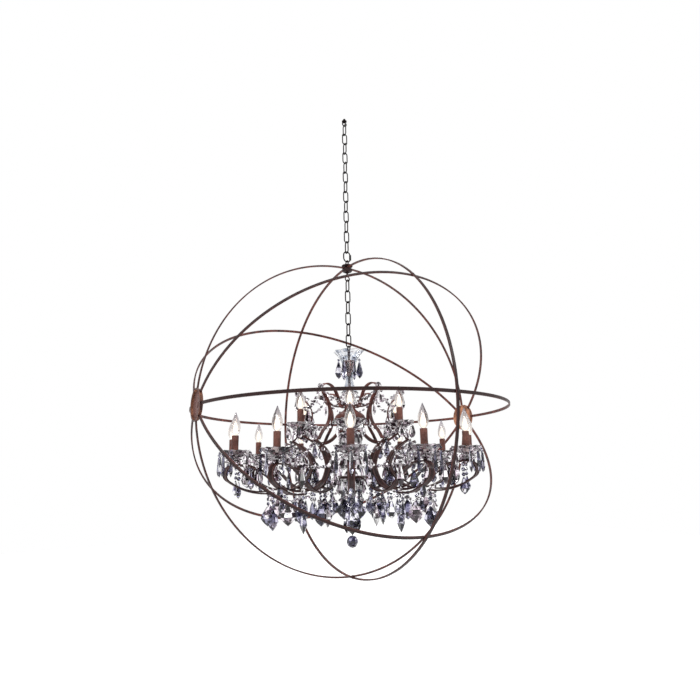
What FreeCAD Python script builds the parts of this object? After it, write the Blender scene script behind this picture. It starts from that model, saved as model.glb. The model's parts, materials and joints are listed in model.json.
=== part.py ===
"""Orb chandelier: a sphere of iron straps that hangs on a chain, with a crystal candelabra inside.

Millimetres, +Z up. The origin is the top of the threaded nipple in the ceiling, so everything
hangs at negative Z. Heights in the tables below are above the centre of the orb, and every piece
is lowered into place at the end. The two side hubs of the orb lie on the X axis.
"""
import FreeCAD, Part
import math
import os

V = FreeCAD.Vector

# ---- orb ----
orb_radius = 552.6           # outside of the meridian ring
strap_thickness = 4.5
strap_width = 11.0
ring_gap = 0.1               # between the meridian ring and the straps inside it
hub_straps = 8               # half arcs that leave each side hub
ring_flats = 40              # a hoop is drawn with this many flats, one centred on each crossing
hub_sides = 20
side_hub_radius = 49.0
side_hub_depth = 12.0
side_hub_wall = 3.0
side_hub_lip = 2.5           # how far the rim stands out round the hub
rivet_radius = 2.5
rivet_head_radius = 4.2
rivet_head_height = 1.6

# ---- chain ----
wire = 4.5
link_length = 43.0           # inside, so also the pitch of the chain
link_width = 15.0            # inside
upper_links = 13             # the lower chain has as many as fit above the trumpet
wire_sides = 6               # the chain wire is drawn with this many flats
bend_steps = 3               # flats round each end of a link, odd so that one lies at the bottom
quick_wire = 5.0
quick_length = 36.0
quick_width = 24.0
joint_gap = 0.3              # slack between links that swing on each other
touch_gap = 0.05             # slack between links that stay in line
eye_radius = 9.0             # wire centre of the rings that the chains hang from

# ---- ceiling loop ----
nipple_radius = 5.0
nipple_length = 8.0
collar_radius = 10.0
collar_height = 5.0

# ---- top hub ----
top_hub_radius = 21.0
top_hub_height = 8.0
shank_radius = 4.0
shank_clearance = 0.2
nut_radius = 8.0
nut_height = 6.0
hook_drop = 43.0             # from the nut's lower face to the bottom of the hook

# ---- column, heights above the orb's centre ----
rod_radius = 5.0
bore_clearance = 0.05
glass_wall = 3.0
trumpet_rim_height = 220.0
trumpet_rim_radius = 57.0
trumpet_neck_height = 123.0
trumpet_neck_radius = 13.0
trumpet_foot_height = 70.0
trumpet_foot_radius = 30.0
ferrule_bottom = 128.0
ferrule_top = 185.0
ferrule_top_radius = 17.0
ferrule_foot_radius = 7.5
spider_height = 6.0
spider_radius = 18.0
spider_top = 27.0
bell_height = 46.0
bell_radius = 54.0
bell_neck_radius = 15.0
bowl_height = 35.0
bowl_foot_radius = 22.0
upper_plate_radius = 26.0
upper_plate_height = 10.0
arm_plate_radius = 45.0
arm_plate_height = 8.0
arm_plate_top = -222.0
dish_radius = 44.0
dish_height = 26.0
finial_height = 14.0
finial_radius = 16.0
finial_tip = 8.0             # from the rod's end down to the tip of the cap
column_sides = 16
stem_sides = 8               # of the rod, its bores, the rivets and the hook's shank

# ---- branches ----
front_angle = -121.6         # direction of the arm that faces the front
lower_arms = 12
upper_arms = 6
lyres = 6
scroll_width = 20.0
scroll_thickness = 4.0
lyre_width = 12.0
facet_turn = 32.0            # a scroll is drawn with one flat for about this many degrees

# ---- candles ----
lower_reach = 416.0          # from the column's axis to the lower candles
lower_candle_height = -136.0 # rim of the lower bobeches
upper_reach = 193.5
upper_candle_height = -44.5
bobeche_radius = 48.0
bobeche_petals = 6
bobeche_scallop = 4.0
bobeche_depth = 19.0
bobeche_foot_radius = 19.0
bobeche_wall = 2.5
sleeve_length = 46.6         # that shows above the bobeche's rim
sleeve_radius = 10.8
bulb_base_radius = 6.2
socket_clearance = 1.0       # at the corners of the bulb's base and of the socket
bulb_base_length = 15.0
bulb_radius = 16.4
bulb_length = 73.0
cup_radius = 10.0
cup_height = 22.0
cup_flare = 12.0             # height over which the cup widens from its foot
curl_beyond_candle = 2.8     # from the lower candle's axis out to where the scroll curls under
curl_below_cup = 0.6         # from the cup's foot down to the middle of the scroll there
crescent_inset = 190.0       # from the lower candle's axis in to the head of the crescent
crescent_rise = 30.0         # from the lower bobeche's rim up to it
stem_radius = 5.0
candle_sides = 8

# ---- crystals ----
drop_gap = 0.2
spear_length = 78.0
spear_radius = 5.0
almond_length = 46.0
almond_radius = 9.0
kite_length = 54.0
kite_radius = 17.0
kite_thickness = 7.0
button_radius = 8.0
button_thickness = 6.0
blade_length = 78.0
blade_width = 24.0
blade_thickness = 8.0
drop_wire = 2.4
drop_ring_radius = 5.5       # wire centre of the loops that the ball hangs from
spreader_radius = 26.0
drop_ball_radius = 20.0
drop_ball_centre = -437.0
spreader_drop = 10.0         # from the tips of the blades down to the spreader

# ---- sizes that follow ----
inner_strap_outside = orb_radius - strap_thickness - ring_gap
inner_strap_inside = inner_strap_outside - strap_thickness
link_wire_span = link_length + wire
quick_wire_span = quick_length + quick_wire
top_hub_base = orb_radius + ring_gap
top_hub_top = top_hub_base + top_hub_height
hub_eye_bottom = top_hub_top - wire / 4
hub_eye_top = hub_eye_bottom + 2 * eye_radius
quick_bottom = hub_eye_top - (wire + quick_wire) / 2 - joint_gap
quick_top = quick_bottom + quick_wire_span
last_link_bottom = quick_top - (wire + quick_wire) / 2 - touch_gap
chain_pitch = link_length - touch_gap
first_link_bottom = last_link_bottom + (upper_links - 1) * chain_pitch - joint_gap + touch_gap
first_link_top = first_link_bottom + link_wire_span
loop_bottom = first_link_top - wire - joint_gap
collar_bottom = loop_bottom + 2 * eye_radius + wire / 4
ceiling = collar_bottom + collar_height + nipple_length
nut_bottom = inner_strap_inside - nut_height
hook_bottom = nut_bottom - hook_drop
lower_chain_top = hook_bottom + wire + joint_gap
lower_chain_room = lower_chain_top - link_wire_span + wire + touch_gap - 2 * eye_radius - trumpet_rim_height
lower_links = 2 * int((lower_chain_room / chain_pitch + 1) / 2)
lower_chain_bottom = lower_chain_top - link_wire_span - (lower_links - 1) * chain_pitch
rod_eye_top = lower_chain_bottom + wire + touch_gap
rod_top = rod_eye_top - 2 * eye_radius
bowl_top = spider_top - spider_height - bell_height
upper_plate_top = bowl_top - bowl_height
dish_top = arm_plate_top - arm_plate_height
finial_top = dish_top - dish_height
rod_bottom = finial_top - finial_height
bore_radius = rod_radius + bore_clearance
cap_bottom = finial_top - finial_height - finial_tip
finial_loop_bottom = cap_bottom - 2 * drop_ring_radius + drop_wire / 4
spreader_height = finial_top - blade_length - spreader_drop


def axis_point(height, radius=0.0, angle=0.0):
    turn = math.radians(angle)
    return V(radius * math.cos(turn), radius * math.sin(turn), height)


def flat_face(corners):
    return Part.Face(Part.makePolygon(corners + corners[:1]))


def corner_ring(sides, radius, height, scallop=0.0):
    """Corners of a ring round Z; scallop draws every second corner in by that much."""
    return [axis_point(height, radius - scallop * (k % 2), 360.0 * k / sides) for k in range(sides)]


def faceted(profile, sides):
    """A solid of flat faces round Z through (radius, height) pairs, from the bottom up.

    A third value in a pair is the scallop of that ring, which splits the faces beside it.
    """
    rings = []
    scalloped = []
    for level in profile:
        scallop = level[2] if len(level) > 2 else 0.0
        rings.append(corner_ring(sides, level[0], level[1], scallop))
        scalloped.append(scallop != 0)
    faces = [flat_face(rings[0]), flat_face(rings[-1])]
    for level in range(len(rings) - 1):
        low, high = rings[level], rings[level + 1]
        for k in range(sides):
            j = (k + 1) % sides
            if scalloped[level] or scalloped[level + 1]:
                faces.append(flat_face([low[k], low[j], high[j]]))
                faces.append(flat_face([low[k], high[j], high[k]]))
            else:
                faces.append(flat_face([low[k], low[j], high[j], high[k]]))
    return closed_solid(faces)


def closed_solid(faces):
    solid = Part.Solid(Part.Shell(faces))
    if solid.Volume < 0:
        solid.reverse()
    return solid


def prism(radius, low, high, sides):
    return faceted([(radius, low), (radius, high)], sides)


def bore(low, high):
    """What is cut from a piece that the centre rod passes through."""
    return prism(bore_radius, low, high, stem_sides)


def plate(half_width, low, high, sides, first):
    """A disc with flats, one of them facing the first arm, and the rod's bore."""
    disc = prism(half_width / math.cos(math.pi / sides), low, high, sides)
    return turned(disc, first + 180.0 / sides).cut(bore(low - 1, high + 1))


def turned(shape, angle):
    copy = shape.copy()
    copy.rotate(V(0, 0, 0), V(0, 0, 1), angle)
    return copy


def moved(shape, x, y, z):
    copy = shape.copy()
    copy.translate(V(x, y, z))
    return copy


def arm_angles(count, first=front_angle):
    return [first + 360.0 * k / count for k in range(count)]


def round_the_column(shape, count, first=front_angle):
    return [turned(shape, angle) for angle in arm_angles(count, first)]


# ---- wire forms ----
def wire_loop(wire_size, inside_length, inside_width):
    """An oval link or a ring in the XZ plane, its lowest wire centre at the origin."""
    bend = (inside_width + wire_size) / 2
    straight = inside_length + wire_size - 2 * bend
    step = math.pi / bend_steps
    stations = [(k * step - math.pi, bend) for k in range(bend_steps + 1)]
    stations += [(k * step, bend + straight) for k in range(bend_steps + 1)]
    if straight < wire_size / 100:
        stations = [(k * step, bend) for k in range(2 * bend_steps)]
    sections = [loop_section(angle, bend, height, wire_size / 2, step) for angle, height in stations]
    faces = []
    for first, second in zip(sections, sections[1:] + sections[:1]):
        for k in range(wire_sides):
            j = (k + 1) % wire_sides
            faces.append(flat_face([first[k], first[j], second[j], second[k]]))
    return closed_solid(faces)


def loop_section(angle, bend, centre_height, radius, step):
    """Corners of the mitre between two flats of a bend, whose middles lie at the bend's radius."""
    out = V(math.cos(angle), 0, math.sin(angle))
    corners = []
    for k in range(wire_sides):
        a = 2 * math.pi * (k + 0.5) / wire_sides
        reach = (bend + radius * math.cos(a)) / math.cos(step / 2)
        corners.append(V(0, radius * math.sin(a), centre_height) + out * reach)
    return corners


def hung_link(shape, bottom, crosswise):
    """Put a link with its lowest wire centre at a height, crosswise in the YZ plane."""
    link = turned(shape, 90) if crosswise else shape
    return moved(link, 0, 0, bottom)


chain_link = wire_loop(wire, link_length, link_width)
quick_shape = wire_loop(quick_wire, quick_length, quick_width)
eye_inside = 2 * eye_radius - wire
eye_ring = wire_loop(wire, eye_inside, eye_inside)
drop_ring = wire_loop(drop_wire, 2 * drop_ring_radius - drop_wire, 2 * drop_ring_radius - drop_wire)


# ---- ceiling loop and chains ----
def make_ceiling_loop():
    nipple = Part.makeCylinder(nipple_radius, nipple_length, V(0, 0, ceiling - nipple_length))
    collar = prism(collar_radius, collar_bottom, collar_bottom + collar_height, column_sides)
    return nipple.fuse([collar, moved(eye_ring, 0, 0, loop_bottom)])


def make_upper_chain():
    links = []
    for k in range(1, upper_links):
        bottom = last_link_bottom + (upper_links - 1 - k) * chain_pitch
        links.append(hung_link(chain_link, bottom, k % 2 == 0))
    return Part.makeCompound(links)


def make_lower_chain():
    links = []
    for k in range(lower_links):
        bottom = lower_chain_top - link_wire_span - k * chain_pitch
        links.append(hung_link(chain_link, bottom, k % 2 == 0))
    return Part.makeCompound(links)


# ---- orb ----
def flats_round(radius, flats):
    """Corners of flats that touch a circle round Z, the first flat centred on the X axis."""
    reach = radius / math.cos(math.pi / ring_flats)
    return [axis_point(-strap_width / 2, reach, (k + 0.5) * 360.0 / ring_flats) for k in range(flats)]


def half_hoop_outline(radius):
    """Corners of half a hoop at this radius, with its two ends on the X axis."""
    start = axis_point(-strap_width / 2, radius, 0)
    end = axis_point(-strap_width / 2, radius, 180)
    return [start] + flats_round(radius, ring_flats // 2) + [end]


def crossing_pin(roll, clearance):
    """A pin through both straps where they cross at this roll about X.

    The top crossing takes the hook's shank, every other one a rivet.
    """
    radius = shank_radius if roll == 90 else rivet_radius
    pin = prism(radius + clearance, inner_strap_inside, orb_radius, stem_sides)
    pin.rotate(V(0, 0, 0), V(1, 0, 0), roll - 90)
    return pin


def make_half_arc(roll):
    """Half a hoop from side hub to side hub, rolled about X from the +Y side."""
    outer = half_hoop_outline(inner_strap_outside)
    inner = half_hoop_outline(inner_strap_inside)
    arc = flat_face(outer + inner[::-1]).extrude(V(0, 0, strap_width))
    arc.rotate(V(0, 0, 0), V(1, 0, 0), roll)
    hub = prism(side_hub_radius, -2 * orb_radius, 2 * orb_radius, hub_sides)
    hub.rotate(V(0, 0, 0), V(0, 1, 0), 90)
    return arc.cut([hub, crossing_pin(roll, crossing_clearance(roll))])


def crossing_clearance(roll):
    return shank_clearance if roll == 90 else bore_clearance


def make_meridian_ring():
    outer = flats_round(orb_radius, ring_flats)
    inner = flats_round(orb_radius - strap_thickness, ring_flats)
    wires = [Part.makePolygon(corners + corners[:1]) for corners in (outer, inner)]
    ring = Part.Face(wires, "Part::FaceMakerBullseye").extrude(V(0, 0, strap_width))
    ring.rotate(V(0, 0, 0), V(0, 1, 0), 90)
    rolls = [360.0 * k / hub_straps for k in range(hub_straps)]
    return ring.cut([crossing_pin(roll, crossing_clearance(roll)) for roll in rolls])


def make_side_hub(side):
    """A shallow drum, closed towards the orb and open outwards, with a thin rim."""
    floor = inner_strap_inside - side_hub_depth / 2
    mouth = floor + side_hub_depth
    lip = side_hub_radius + side_hub_lip
    drum = faceted([(side_hub_radius, floor), (side_hub_radius, mouth - side_hub_lip),
                    (lip, mouth - side_hub_lip), (lip, mouth)], hub_sides)
    hub = drum.cut(prism(side_hub_radius - side_hub_wall, floor + side_hub_wall, mouth + 1, hub_sides))
    hub.rotate(V(0, 0, 0), V(0, 1, 0), 90)
    return turned(hub, 180) if side < 0 else hub


def make_rivets():
    rivets = []
    for k in range(hub_straps):
        roll = 360.0 * k / hub_straps
        if roll == 90:
            continue
        rivet = faceted([(rivet_head_radius / 2, inner_strap_inside - rivet_head_height),
                         (rivet_head_radius, inner_strap_inside), (rivet_radius, inner_strap_inside),
                         (rivet_radius, orb_radius), (rivet_head_radius, orb_radius),
                         (rivet_head_radius / 2, orb_radius + rivet_head_height)], stem_sides)
        rivet.rotate(V(0, 0, 0), V(1, 0, 0), roll - 90)
        rivets.append(rivet)
    return Part.makeCompound(rivets)


def make_top_hub():
    disc = prism(top_hub_radius, top_hub_base, top_hub_top, column_sides)
    return disc.fuse(hung_link(eye_ring, hub_eye_bottom, True))


def make_hub_hook():
    shank = prism(shank_radius, hook_bottom + 2 * eye_radius, top_hub_base, stem_sides)
    nut = prism(nut_radius, nut_bottom, inner_strap_inside, 6)
    return shank.fuse([nut, moved(eye_ring, 0, 0, hook_bottom)])


# ---- column ----
def make_centre_rod():
    stem = prism(rod_radius, rod_bottom, rod_top + wire / 4, stem_sides)
    return stem.fuse(hung_link(eye_ring, rod_top, True))


def make_trumpet():
    """Clear glass hourglass: a wide mouth, a narrow neck and a flared foot."""
    mid = (trumpet_rim_height + trumpet_neck_height) / 2
    outside = [
        (trumpet_foot_radius, trumpet_foot_height),
        (trumpet_neck_radius + 3, trumpet_neck_height - 24),
        (trumpet_neck_radius, trumpet_neck_height),
        (trumpet_neck_radius + 9, mid),
        (trumpet_rim_radius - 18, trumpet_rim_height - 14),
        (trumpet_rim_radius, trumpet_rim_height),
    ]
    inside = [(radius - glass_wall, height) for radius, height in outside]
    body = faceted(outside, column_sides)
    hollow = faceted(inside, column_sides)
    return body.cut(hollow)


def make_ferrule():
    cone = faceted([(ferrule_foot_radius, ferrule_bottom), (ferrule_top_radius - 3, ferrule_top - 12),
                    (ferrule_top_radius, ferrule_top - 8), (ferrule_top_radius, ferrule_top)], 12)
    return cone.cut(bore(ferrule_bottom - 1, ferrule_top + 1))


def crystal_collar():
    """Cut glass rings between the spider and the trumpet."""
    low, high = spider_top, trumpet_foot_height
    rise = (high - low) / 6
    profile = [(20, low), (30, low + rise), (17, low + 2 * rise), (22, low + 3.5 * rise),
               (16, low + 4.5 * rise), (32, high - rise / 2), (32, high)]
    return faceted(profile, 12).cut(bore(low - 1, high + 1))


def top_spider():
    """Disc that carries the inner ends of the lyres."""
    return plate(spider_radius, spider_top - spider_height, spider_top, lyres, front_angle + 180.0 / lyres)


def make_bell_cup():
    """Metal bell over the smoke glass bowl, open below."""
    top = spider_top - spider_height
    outside = [(bell_radius, bowl_top), (bell_radius - 3, bowl_top + 9), (bell_radius - 19, bowl_top + 22),
               (bell_neck_radius + 4, bowl_top + 33), (bell_neck_radius, top)]
    inside = [(bell_radius - 2, bowl_top - 1), (bell_radius - 5, bowl_top + 9),
              (bell_radius - 21, bowl_top + 22), (bell_neck_radius + 2, bowl_top + 32)]
    rod_hole = bore(bowl_top, top + 1)
    return faceted(outside, column_sides).cut([faceted(inside, column_sides), rod_hole])


def make_smoke_bowl():
    """Cut glass bowl that closes the bell from below."""
    profile = [(bowl_foot_radius, upper_plate_top), (bell_radius - 9, upper_plate_top + 16),
               (bell_radius, bowl_top - 6), (bell_radius - 2, bowl_top)]
    inside = [(bowl_foot_radius - glass_wall, upper_plate_top + glass_wall),
              (bell_radius - 12, upper_plate_top + 17), (bell_radius - 2 - glass_wall, bowl_top + 1)]
    rod_hole = bore(upper_plate_top - 1, bowl_top)
    return faceted(profile, column_sides).cut([faceted(inside, column_sides), rod_hole])


def upper_plate():
    """Disc that carries the upper arms."""
    return plate(upper_plate_radius, upper_plate_top - upper_plate_height, upper_plate_top,
                 2 * upper_arms, front_angle)


def middle_spool():
    """Turned glass spool between the two arm plates."""
    high = upper_plate_top - upper_plate_height
    low = arm_plate_top
    span = high - low
    profile = [(24, low), (13, low + 0.18 * span), (20, low + 0.36 * span), (11, low + 0.55 * span),
               (15, low + 0.75 * span), (22, high - 6), (22, high)]
    return faceted(profile, 12).cut(bore(low - 1, high + 1))


def lower_plate():
    """Disc that carries the lower arms."""
    return plate(arm_plate_radius, dish_top, arm_plate_top, lower_arms, front_angle)


def make_arm_plates():
    return Part.makeCompound([top_spider(), upper_plate(), lower_plate()])


def make_glass_spools():
    return Part.makeCompound([crystal_collar(), middle_spool()])


def make_lower_dish():
    profile = [(finial_radius, finial_top), (dish_radius - 12, finial_top + 8), (dish_radius, dish_top - 4),
               (dish_radius, dish_top)]
    return faceted(profile, column_sides).cut(bore(finial_top - 1, dish_top + 1))


def make_finial():
    """Metal cap with a loop below it for the central drop."""
    cap = faceted([(5, cap_bottom), (8, cap_bottom + 5), (finial_radius, finial_top - 4),
                   (finial_radius, finial_top)], 12)
    blind = bore(rod_bottom, finial_top + 1)
    return cap.cut(blind).fuse(moved(drop_ring, 0, 0, finial_loop_bottom))


# ---- scrolls ----
def walk(start, heading, turns):
    """Points along tangent arcs in the arm's plane, with the heading at each.

    turns lists (radius, degrees) arcs, and a positive turn is to the left. A turn of 0 degrees
    is a straight run, as long as its first value.
    """
    x, z = start
    angle = math.radians(heading)
    stations = [(x, z, angle)]
    for radius, degrees in turns:
        if degrees == 0:
            x, z = x + radius * math.cos(angle), z + radius * math.sin(angle)
            stations.append((x, z, angle))
            continue
        steps = max(2, int(round(abs(degrees) / facet_turn)))
        side = 1 if degrees > 0 else -1
        cx = x - side * radius * math.sin(angle)
        cz = z + side * radius * math.cos(angle)
        for k in range(1, steps + 1):
            a = angle + math.radians(degrees) * k / steps
            stations.append((cx + side * radius * math.sin(a), cz - side * radius * math.cos(a), a))
        x, z, angle = stations[-1]
    return stations


def bends_to(target, start, heading, free_turns, turns):
    """Arcs whose first two get the radii that bring the end of the last one to the target."""
    def miss(first, second):
        arcs = [(first, free_turns[0]), (second, free_turns[1])] + turns
        x, z, angle = walk(start, heading, arcs)[-1]
        return target[0] - x, target[1] - z

    x, z = miss(0, 0)
    first_x, first_z = [whole - part for whole, part in zip((x, z), miss(1, 0))]
    second_x, second_z = [whole - part for whole, part in zip((x, z), miss(0, 1))]
    spread = first_x * second_z - first_z * second_x
    first = (x * second_z - z * second_x) / spread
    second = (first_x * z - first_z * x) / spread
    return [(first, free_turns[0]), (second, free_turns[1])] + turns


def from_plate(start, heading, turns):
    """The same, with its start cut upright to sit against the side of a plate."""
    stations = walk(start, heading, turns)
    stations[0] = (start[0], start[1], 0.0)
    return stations


def strap(stations, width, thickness):
    """A flat bar that follows the stations, its width square to the arm's plane."""
    left = []
    right = []
    for x, z, angle in stations:
        nx, nz = -math.sin(angle) * thickness / 2, math.cos(angle) * thickness / 2
        left.append(V(x + nx, -width / 2, z + nz))
        right.append(V(x - nx, -width / 2, z - nz))
    outline = left + right[::-1]
    return flat_face(outline).extrude(V(0, width, 0))


def lower_arm_path():
    start = (arm_plate_radius, (arm_plate_top + dish_top) / 2)
    cup_foot = lower_candle_height - bobeche_depth - bobeche_wall - cup_height
    curl_start = (lower_reach + curl_beyond_candle, cup_foot - curl_below_cup)
    reach_out = bends_to(curl_start, start, 14, (-52, 83), [(175, -50)])
    return from_plate(start, 14, reach_out + [(27, -139), (210, -42)])


def crescent_top_path():
    head = (lower_reach - crescent_inset, lower_candle_height + crescent_rise)
    return walk(head, 199, [(123, 53)])


def crescent_foot_path():
    x, z, heading = crescent_top_path()[-1]
    return walk((x, z), 282, [(96, 74)])


def lyre_path():
    start = (spider_radius, spider_top - spider_height / 2)
    return from_plate(start, -25, [(50, 87), (70, -87), (15.5, -133), (64, 53), (61, 69), (200, -18)])


def upper_arm_path():
    start = (upper_plate_radius, upper_plate_top - upper_plate_height / 2)
    return from_plate(start, -7, [(55, -41), (81, 83), (66, -35), (8, 0)])


def make_lower_arms():
    scroll = strap(lower_arm_path(), scroll_width, scroll_thickness)
    upper_half = strap(crescent_top_path(), scroll_width, scroll_thickness)
    lower_half = strap(crescent_foot_path(), scroll_width, scroll_thickness)
    arm = scroll.fuse([upper_half, lower_half])
    return Part.makeCompound(round_the_column(arm, lower_arms))


def make_lyres():
    """Crook-headed straps from the top spider over and down to the crescents."""
    bar = strap(lyre_path(), lyre_width, scroll_thickness)
    return Part.makeCompound(round_the_column(bar, lyres, front_angle + 180.0 / lyres))


def make_upper_arms():
    bar = strap(upper_arm_path(), lyre_width, scroll_thickness)
    return Part.makeCompound(round_the_column(bar, upper_arms))


# ---- candles ----
def candle_places():
    """Angle, distance from the column and rim height of every candle, lower ones first."""
    places = [(angle, lower_reach, lower_candle_height) for angle in arm_angles(lower_arms)]
    return places + [(angle, upper_reach, upper_candle_height) for angle in arm_angles(upper_arms)]


def at_candles(shape):
    """One copy per candle of a shape that is drawn round Z with the rim of the bobeche at zero."""
    copies = []
    for angle, reach, height in candle_places():
        copies.append(turned(moved(shape, reach, 0, height), angle))
    return copies


def make_cups():
    """Turned cup under each bobeche, its foot cut to the scroll that it stands on."""
    base = -bobeche_depth - bobeche_wall - cup_height
    profile = [(stem_radius, base), (cup_radius, base + cup_flare), (cup_radius, base + cup_height)]
    shape = faceted(profile, candle_sides)
    low_bar = strap(lower_arm_path(), scroll_width, scroll_thickness)
    high_bar = strap(upper_arm_path(), lyre_width, scroll_thickness)
    low_cup = above_the_bar(moved(shape, lower_reach, 0, lower_candle_height).cut(low_bar))
    high_cup = above_the_bar(moved(shape, upper_reach, 0, upper_candle_height).cut(high_bar))
    return Part.makeCompound(round_the_column(low_cup, lower_arms) + round_the_column(high_cup, upper_arms))


def above_the_bar(cup):
    """What is left of a cup once its foot is cut to a bar, without any crumb below the bar."""
    return max(cup.Solids, key=lambda solid: solid.Volume)


def make_bobeches():
    """Scalloped glass dish that the sleeve stands in."""
    points = 2 * bobeche_petals
    floor = -bobeche_depth
    under = floor - bobeche_wall
    outer = faceted([(bobeche_foot_radius, under), (bobeche_radius, 0, bobeche_scallop)], points)
    rim = bobeche_radius - 1.5 * bobeche_wall
    inner = faceted([(bobeche_foot_radius - 0.5 * bobeche_wall, floor), (rim, 0, bobeche_scallop),
                     (rim, 1, bobeche_scallop)], points)
    return Part.makeCompound(at_candles(outer.cut(inner)))


def make_sleeves():
    """Candle tube with the lamp holder's socket in its top."""
    body = prism(sleeve_radius, -bobeche_depth, sleeve_length, candle_sides)
    socket_floor = sleeve_length - bulb_base_length - 1
    socket = prism(bulb_base_radius + socket_clearance, socket_floor, sleeve_length + 1, candle_sides)
    return Part.makeCompound(at_candles(body.cut(socket)))


def bulb_shape():
    low = sleeve_length - bulb_base_length
    top = sleeve_length
    profile = [(bulb_base_radius, low), (bulb_base_radius, top + 1), (bulb_radius, top + 0.33 * bulb_length),
               (bulb_radius * 0.5, top + 0.75 * bulb_length), (1.5, top + bulb_length)]
    return faceted(profile, candle_sides)


# ---- crystals ----
def spindle(length, radius, waist, sides, flat=1.0):
    """A cut drop that hangs from the origin, widest at a share of its length."""
    points = [axis_point(-waist * length, radius, 360.0 * k / sides) for k in range(sides)]
    points = [V(p.x, p.y * flat, p.z) for p in points]
    top = V(0, 0, 0)
    foot = V(0, 0, -length)
    faces = []
    for k in range(sides):
        a, b = points[k], points[(k + 1) % sides]
        faces.append(flat_face([a, b, top]))
        faces.append(flat_face([b, a, foot]))
    return closed_solid(faces)


def make_spear_drops():
    """Long drops on the outer petals of the lower bobeches."""
    drops = []
    drop = spindle(spear_length, spear_radius, 0.72, 4)
    for angle in arm_angles(lower_arms):
        for side in (-60, 0, 60):
            x = lower_reach + rim_hang_radius() * math.cos(math.radians(side))
            y = rim_hang_radius() * math.sin(math.radians(side))
            drops.append(turned(moved(drop, x, y, lower_candle_height - rim_drop()), angle))
    return Part.makeCompound(drops)


def make_almond_drops():
    """Shorter drops on the inner petals of the lower bobeches and all round the upper ones."""
    drops = []
    drop = spindle(almond_length, almond_radius, 0.66, 4, 0.6)
    for angle, reach, height in candle_places():
        sides = (-120, 120, 180) if reach == lower_reach else (-120, -60, 0, 60, 120, 180)
        for side in sides:
            x = reach + rim_hang_radius() * math.cos(math.radians(side))
            y = rim_hang_radius() * math.sin(math.radians(side))
            drops.append(turned(moved(drop, x, y, height - rim_drop()), angle))
    return Part.makeCompound(drops)


def rim_hang_radius():
    return bobeche_radius - 2.0


def rim_drop():
    """How far below the rim the sloping underside is at the hanging radius."""
    flare = (bobeche_depth + bobeche_wall) / (bobeche_radius - bobeche_foot_radius)
    return flare * 2.0 + drop_gap


def make_kite_drops():
    """Broad cut drops under the inner ends of the lower scrolls."""
    x, z, heading = lower_arm_path()[-1]
    bead = spindle(button_radius * 2, button_radius, 0.5, 4, 0.6)
    kite = spindle(kite_length, kite_radius, 0.62, 4, kite_thickness / kite_radius)
    start = z - scroll_thickness
    chain = [moved(bead, x, 0, start - k * button_radius * 2) for k in range(3)]
    chain.append(moved(kite, x, 0, start - 3 * button_radius * 2))
    drops = []
    for angle in arm_angles(lower_arms):
        drops += [turned(piece, angle) for piece in chain]
    return Part.makeCompound(drops)


def make_rosettes():
    """Glass buttons on the waist of every crescent and on the heads of the lyres."""
    button = faceted([(button_radius * 0.6, 0), (button_radius, button_thickness * 0.4),
                      (button_radius * 0.5, button_thickness)], 6)
    button.rotate(V(0, 0, 0), V(0, 1, 0), -90)
    x, z, heading = crescent_top_path()[-1]
    waist = moved(button, x - scroll_thickness, 0, z)
    pieces = round_the_column(waist, lower_arms)
    lx, lz, heading = max(station for station in lyre_path() if station[1] > spider_top)
    head = button.copy()
    head.rotate(V(0, 0, 0), V(0, 1, 0), 180)
    head = moved(head, lx + scroll_thickness, 0, lz)
    return Part.makeCompound(pieces + round_the_column(head, lyres, front_angle + 180.0 / lyres))


def make_blades():
    """Ring of long cut blades that hangs from the lower dish."""
    blade = spindle(blade_length, blade_width / 2, 0.6, 4, blade_thickness / blade_width)
    blade.rotate(V(0, 0, 0), V(0, 0, 1), 90)
    hang = moved(blade, dish_radius - 10, 0, finial_top + 8 - drop_gap - 4)
    return Part.makeCompound(round_the_column(hang, 6))


def make_ball_drop():
    """Central string: hook, wire, a spreader with kites and the faceted ball."""
    hook_top = finial_loop_bottom + drop_wire + joint_gap
    hook_bottom_wire = hook_top - 2 * drop_ring_radius
    ball_top = drop_ball_centre + 0.9 * drop_ball_radius
    cord = faceted([(drop_wire / 2, ball_top - 1), (drop_wire / 2, hook_bottom_wire + drop_wire / 4)], 6)
    spreader = prism(spreader_radius, spreader_height - drop_wire, spreader_height, 12)
    ball = faceted([(0.4 * drop_ball_radius, drop_ball_centre - 0.9 * drop_ball_radius),
                    (0.85 * drop_ball_radius, drop_ball_centre - 0.45 * drop_ball_radius),
                    (drop_ball_radius, drop_ball_centre),
                    (0.85 * drop_ball_radius, drop_ball_centre + 0.45 * drop_ball_radius),
                    (0.4 * drop_ball_radius, ball_top)], 8)
    return hung_link(drop_ring, hook_bottom_wire, True).fuse([cord, spreader, ball])


def make_ball_kites():
    kite = spindle(kite_length, kite_radius * 0.7, 0.5, 4, 0.4)
    kite.rotate(V(0, 0, 0), V(0, 0, 1), 90)
    hang = moved(kite, spreader_radius - 5, 0, spreader_height - drop_wire - drop_gap)
    return Part.makeCompound(round_the_column(hang, 3))


# ---- write every piece ----
def save(name, shape):
    shape = moved(shape, 0, 0, -ceiling)
    shape.exportStep("parts/" + name + ".step")


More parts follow.
